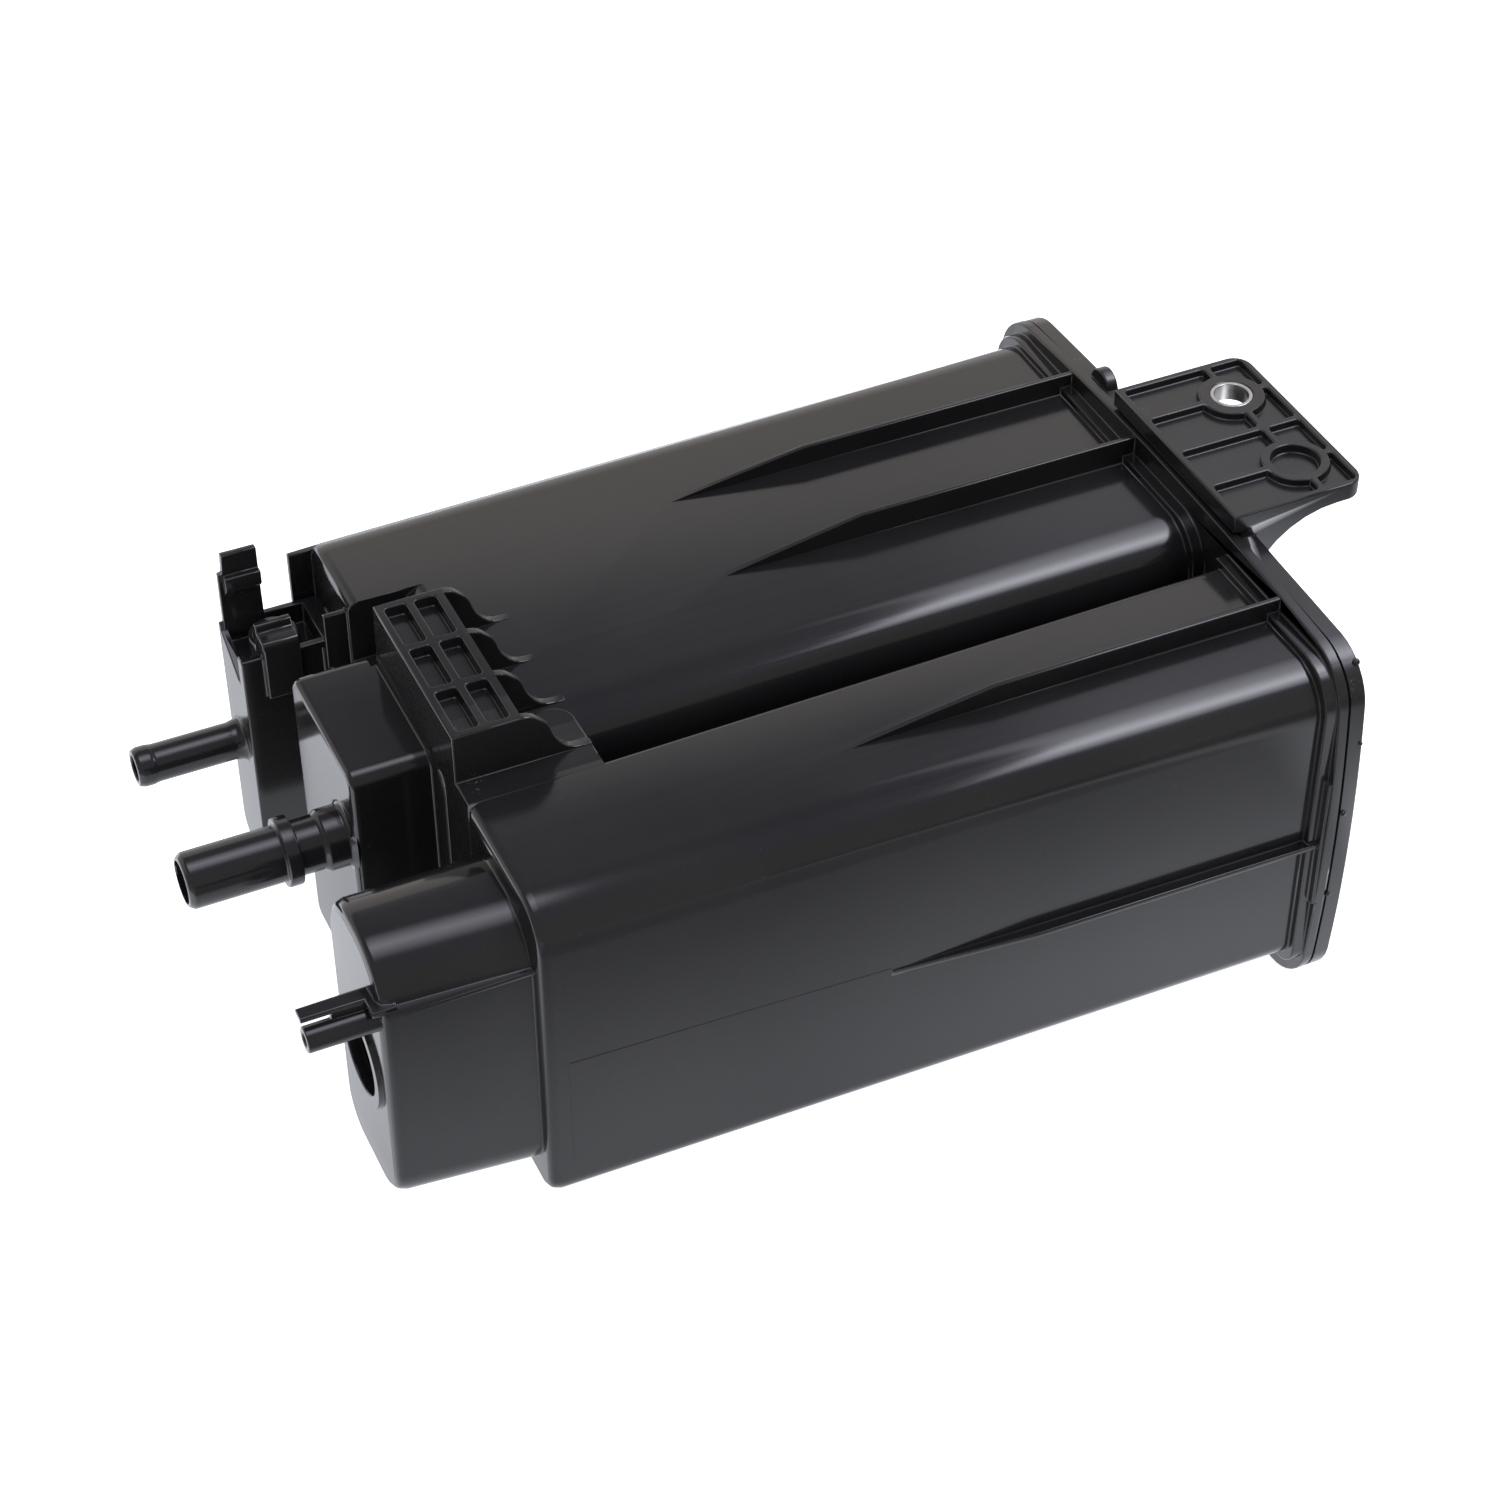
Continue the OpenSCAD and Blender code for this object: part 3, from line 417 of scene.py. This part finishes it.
def softenedCopy(nodeName, pieceName, material, edgeWidth):
    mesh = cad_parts[nodeName].data.copy()
    work = bmesh.new()
    work.from_mesh(mesh)
    bmesh.ops.remove_doubles(work, verts=work.verts, dist=moulded["mergeDistance"])
    bmesh.ops.dissolve_limit(work, angle_limit=moulded["flatAngle"], verts=work.verts, edges=work.edges)
    roundEdges(work, edgeWidth)
    bmesh.ops.dissolve_degenerate(work, dist=moulded["cleanDistance"], edges=work.edges)
    openEdges = [edge for edge in work.edges if edge.is_boundary]
    bmesh.ops.holes_fill(work, edges=openEdges, sides=moulded["filledSides"])
    work.to_mesh(mesh)
    work.free()
    obj = linked(pieceName, mesh)
    mesh.shade_smooth()
    mesh.set_sharp_from_angle(angle=moulded["smoothAngle"])
    weighted = obj.modifiers.new("evenShading", "WEIGHTED_NORMAL")
    weighted.keep_sharp = True
    bake(obj)
    paint(obj.data, material)
    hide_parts(nodeName)
    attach(obj, "root")
    return obj


housingShell = softenedCopy("housing", "housingShell", blackPlastic, moulded["edgeWidth"])
coverShell = softenedCopy("end_cover", "coverShell", blackPlastic, moulded["edgeWidth"])
sleeve = softenedCopy("bushing", "boltSleeve", zincSteel, moulded["sleeveWidth"])
print("moulded pieces:", len(housingShell.data.polygons), len(coverShell.data.polygons), "faces")

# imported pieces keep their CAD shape

packing = {"plate": greyPlastic, "pad": fleeceFelt, "bed": carbonGrain}
for nodeName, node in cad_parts.items():
    for word, material in packing.items():
        if word in nodeName:
            paint(node.data, material)
print("packing dressed")

# geometry node trees for wound, strewn and drawn-along details


def newTree(name, inputs):
    tree = bpy.data.node_groups.new(name, "GeometryNodeTree")
    sockets = {}
    for label, kind in inputs.items():
        sockets[label] = tree.interface.new_socket(name=label, in_out="INPUT", socket_type=kind).identifier
    tree.interface.new_socket(name="Geometry", in_out="OUTPUT", socket_type="NodeSocketGeometry")
    return tree, sockets, addNode(tree, "NodeGroupInput").outputs, addNode(tree, "NodeGroupOutput")


def finishTree(tree, geometry, material, last):
    whole = addNode(tree, "GeometryNodeRealizeInstances", inputs={"Geometry": geometry})
    smooth = addNode(tree, "GeometryNodeSetShadeSmooth", inputs={"Geometry": whole.outputs[0]})
    painted = addNode(tree, "GeometryNodeSetMaterial", inputs={
        "Geometry": smooth.outputs[0], "Material": material})
    tree.links.new(painted.outputs[0], last.inputs[0])


# a round bar along a curve
def bar(tree, curve, radius, sides):
    ring = addNode(tree, "GeometryNodeCurvePrimitiveCircle", inputs={"Resolution": sides, "Radius": radius})
    drawn = addNode(tree, "GeometryNodeCurveToMesh", inputs={
        "Curve": curve, "Profile Curve": ring.outputs[0], "Fill Caps": True})
    return drawn.outputs[0]


def grown(name, mesh, tree, sockets, values):
    obj = linked(name, mesh)
    modifier = obj.modifiers.new(tree.name, "NODES")
    modifier.node_group = tree
    for label, value in values.items():
        modifier[sockets[label]] = value
    bpy.context.view_layer.update()
    bake(obj)
    return obj


# coil springs between plates and cover
coil = {
    "inputs": {"Radius": 8.3 * mm, "Wire": 0.7 * mm, "Height": 12.6 * mm, "Turns": 4.5},
    "turnSteps": 40,
    "wireSides": 10,
}
coilTree, coilSockets, coilIn, coilOut = newTree("coilSpring", {
    "Geometry": "NodeSocketGeometry", "Radius": "NodeSocketFloat", "Wire": "NodeSocketFloat",
    "Height": "NodeSocketFloat", "Turns": "NodeSocketFloat", "Place": "NodeSocketVector"})
winding = addNode(coilTree, "GeometryNodeCurveSpiral", inputs={
    "Resolution": coil["turnSteps"], "Rotations": coilIn["Turns"], "Height": coilIn["Height"],
    "Start Radius": coilIn["Radius"], "End Radius": coilIn["Radius"]})
wound = bar(coilTree, winding.outputs[0], coilIn["Wire"], coil["wireSides"])
laid = addNode(coilTree, "GeometryNodeTransform", inputs={
    "Geometry": wound, "Translation": coilIn["Place"], "Rotation": (0, math.pi / 2, 0)})
finishTree(coilTree, laid.outputs[0], springWire, coilOut)
for nodeName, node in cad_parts.items():
    if "spring" in nodeName:
        corners = [Vector(vert.co) for vert in node.data.vertices]
        low = [min(corner[axis] for corner in corners) for axis in range(3)]
        high = [max(corner[axis] for corner in corners) for axis in range(3)]
        place = (low[0] + coil["inputs"]["Wire"], (low[1] + high[1]) / 2, (low[2] + high[2]) / 2)
        seed = bpy.data.meshes.new(nodeName + "Seed")
        spring = grown(nodeName + "Coil", seed, coilTree, coilSockets, {**coil["inputs"], "Place": place})
        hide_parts(nodeName)
        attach(spring, "root")
print("springs wound")

# small weld beads along the near flange edge
pips = {
    "inputs": {"Size": 0.9 * mm},
    "segments": 16,
    "rings": 10,
    "spread": (0.6, 1.1),
    "seed": 7,
    "spots": [(116.7, -87.9, 62.9), (116.2, -87.5, 35.6), (119.6, -87.0, 83.8), (119.8, -84.2, 97.6),
              (119.6, -80.6, 104.6)],
}
pipTree, pipSockets, pipIn, pipOut = newTree("weldPips", {
    "Geometry": "NodeSocketGeometry", "Size": "NodeSocketFloat"})
pipBall = addNode(pipTree, "GeometryNodeMeshUVSphere", inputs={
    "Segments": pips["segments"], "Rings": pips["rings"], "Radius": pipIn["Size"]})
pipSpread = addNode(pipTree, "FunctionNodeRandomValue", {"data_type": "FLOAT"}, {
    2: pips["spread"][0], 3: pips["spread"][1], "Seed": pips["seed"]})
pipLaid = addNode(pipTree, "GeometryNodeInstanceOnPoints", inputs={
    "Points": pipIn["Geometry"], "Instance": pipBall.outputs[0], "Scale": pipSpread.outputs[1]})
finishTree(pipTree, pipLaid.outputs[0], blackPlastic, pipOut)
pipSeed = bpy.data.meshes.new("weldPipSpots")
pipSeed.from_pydata([Vector(spot) * mm for spot in pips["spots"]], [], [])
weldPips = grown("weldPips", pipSeed, pipTree, pipSockets, pips["inputs"])
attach(weldPips, "root")

# raised mould parting lines on the near side
parting = {
    "inputs": {"Size": 0.09 * mm},
    "sides": 8,
    "paths": [[(-85.2, -80.68, 56.4), (-40.0, -81.3, 55.2), (-3.5, -81.85, 54.0)],
              [(-85.2, -80.68, 56.4), (-85.2, -80.68, 24.0)]],
}
lineTree, lineSockets, lineIn, lineOut = newTree("partingLines", {
    "Geometry": "NodeSocketGeometry", "Size": "NodeSocketFloat"})
linePath = addNode(lineTree, "GeometryNodeMeshToCurve", inputs={"Mesh": lineIn["Geometry"]})
lineDrawn = bar(lineTree, linePath.outputs[0], lineIn["Size"], parting["sides"])
finishTree(lineTree, lineDrawn, blackPlastic, lineOut)
linePoints, lineEdges = [], []
for path in parting["paths"]:
    ends = range(len(linePoints) + 1, len(linePoints) + len(path))
    lineEdges += [(end - 1, end) for end in ends]
    linePoints += [Vector(point) * mm for point in path]
lineSeed = bpy.data.meshes.new("partingLinePaths")
lineSeed.from_pydata(linePoints, lineEdges, [])
partingLines = grown("partingLines", lineSeed, lineTree, lineSockets, parting["inputs"])
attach(partingLines, "root")
print("weld pips and parting lines added")

# floor, light and camera

stage = {
    "floorSize": 8.0,
    "floorColour": (0.86, 0.87, 0.88, 1),
    "floorLift": 0.95,
    "floorRough": 0.9,
    "floorSpecular": 0.1,
    "mirrorTint": (0.96, 0.99, 1.06, 1),
    "mirrorFront": 0.27,
    "mirrorNear": 1.0,
    "mirrorFade": (-0.185, -0.10),
    "mirrorLean": [(-0.13, -0.24, 2.3), (-0.02, 0.09, 1.42), (0.152, 0.17, 2.6), (0.19, 0.24, 0.2)],
    "sweepBright": 1.02,
    "sweepEdge": (0.602, 0.642),
    "sweepTint": (1.03, 0.97, 0.91),
    "skyHigh": 0.29,
    "skyRight": 0.75,
    "skyRise": (0.36, 0.41),
    "skyTint": (0.95, 0.95, 1.10),
    "skyFront": 0.38,
    "skyTurn": (-0.3, 0.3),
    "white": (1, 1, 1, 1),
    "backdrop": 1.5,
}

floorMesh = bpy.data.meshes.new("floor")
half = stage["floorSize"] / 2
floorCorners = [(-half, -half, 0), (half, -half, 0), (half, half, 0), (-half, half, 0)]
floorMesh.from_pydata(floorCorners, [], [(0, 1, 2, 3)])
floor = linked("floor", floorMesh)
floorPaint, floorTree, floorShader = newMaterial("paleFloor")
setInputs(floorTree, floorShader, {
    "Base Color": stage["floorColour"],
    "Emission Color": stage["white"],
    "Emission Strength": stage["floorLift"],
    "Roughness": stage["floorRough"],
    "Specular IOR Level": stage["floorSpecular"]})
# painted reflection: what the glossy plastic mirrors is a glow on the floor, seen only by glossy rays,
# dimming towards the camera and varying along the body
floorPlace = split(floorTree, objectCoords(floorTree))
mirrorLevels = [ranged(floorTree, floorPlace["Y"], stage["mirrorFade"],
                       (stage["mirrorFront"], stage["mirrorNear"]), "SMOOTHSTEP")]
for start, end, factor in stage["mirrorLean"]:
    mirrorLevels.append(ranged(floorTree, floorPlace["X"], (start, end), (1.0, factor)))
# painted reflection: emission graded by place, shown only to glossy rays
floorGlow = addNode(floorTree, "ShaderNodeEmission", inputs={
    "Color": stage["mirrorTint"], "Strength": folded(floorTree, "MULTIPLY", mirrorLevels)})
setInputs(floorTree, floorTree.nodes["Material Output"], {
    "Surface": byRay(floorTree, "Is Glossy Ray", floorShader.outputs[0], floorGlow.outputs[0])})
floorMesh.materials.append(floorPaint)

# a bright sweep behind the part under a darker ceiling
world = bpy.data.worlds.new("studio")
world.use_nodes = True
skyTree = world.node_tree
skyPlace = split(skyTree, addNode(skyTree, "ShaderNodeTexCoord").outputs["Generated"])
skyUpper = ranged(skyTree, skyPlace["X"], stage["skyRise"],
                  (stage["skyHigh"], stage["skyRight"]), "SMOOTHSTEP")
sweep = ranged(skyTree, skyPlace["Z"], stage["sweepEdge"], (stage["sweepBright"], skyUpper), "SMOOTHSTEP")
farness = ranged(skyTree, skyPlace["Y"], stage["skyTurn"], course="SMOOTHSTEP")
skyGlow = addNode(skyTree, "ShaderNodeMix", {"data_type": "FLOAT"}, {
    0: farness, 2: stage["skyFront"], 3: sweep})
setInputs(skyTree, skyTree.nodes["Background"], {
    "Strength": skyGlow.outputs[0],
    "Color": step(skyTree, skyPlace["Z"], stage["sweepEdge"], stage["sweepTint"], stage["skyTint"])})
# the backdrop itself is plain white
backdrop = addNode(skyTree, "ShaderNodeBackground", inputs={
    "Color": stage["white"], "Strength": stage["backdrop"]})
setInputs(skyTree, skyTree.nodes["World Output"], {
    "Surface": byRay(skyTree, "Is Camera Ray", skyTree.nodes["Background"].outputs[0], backdrop.outputs[0])})
bpy.context.scene.world = world

lightTint = (0.95, 0.96, 1.08)
softboxes = [
    {"name": "softboxRight", "place": (0.86, 0.05, 1.30), "size": (0.66, 1.9), "power": 36.0,
     "fade": [(0.0, 0.0), (0.27, 1.0), (0.48, 0.40), (0.72, 0.18), (1.0, 0.0)]},
    {"name": "softboxLeft", "place": (-0.15, -0.05, 1.30), "size": (0.70, 1.1), "power": 8.4,
     "fade": [(0.0, 0.0), (0.5, 1.0), (1.0, 0.0)]},
]
for box in softboxes:
    light = bpy.data.lights.new(box["name"], "AREA")
    light.shape = "RECTANGLE"
    light.size, light.size_y = box["size"]
    light.energy = box["power"]
    light.color = lightTint
    light.use_nodes = True
    # a bright line along it, fading to its long edges
    lightTree = light.node_tree
    lightFace = addNode(lightTree, "ShaderNodeNewGeometry").outputs["Parametric"]
    fade = [(place, grey(level)) for place, level in box["fade"]]
    setInputs(lightTree, lightTree.nodes["Emission"], {
        "Strength": colourRamp(lightTree, split(lightTree, lightFace)["Y"], fade)})
    lamp = linked(box["name"], light)
    lamp.location = box["place"]

# the photograph's camera, from the fit of its edges
view = {
    "eye": (-0.26915, -0.5843, 0.6196),
    "azimuth": -24.51,
    "elevation": 41.19,
    "roll": -0.21,
    "lens": 80.97,
    "sensor": 36,
}


def cameraMatrix(settings):
    turn, rise, roll = (math.radians(settings[key]) for key in ("azimuth", "elevation", "roll"))
    back = Vector((math.sin(turn) * math.cos(rise), -math.cos(turn) * math.cos(rise), math.sin(rise)))
    right = Vector((math.cos(turn), math.sin(turn), 0))
    up = back.cross(right)
    rolledRight = right * math.cos(roll) + up * math.sin(roll)
    rolledUp = up * math.cos(roll) - right * math.sin(roll)
    turned = Matrix((rolledRight, rolledUp, back)).transposed().to_4x4()
    return Matrix.Translation(settings["eye"]) @ turned


lensData = bpy.data.cameras.new("photoCamera")
lensData.lens = view["lens"]
lensData.sensor_width = view["sensor"]
camera = linked("photoCamera", lensData)
camera.matrix_world = cameraMatrix(view)
bpy.context.scene.camera = camera
bpy.context.scene.view_settings.view_transform = "Standard"
print("stage and camera set")
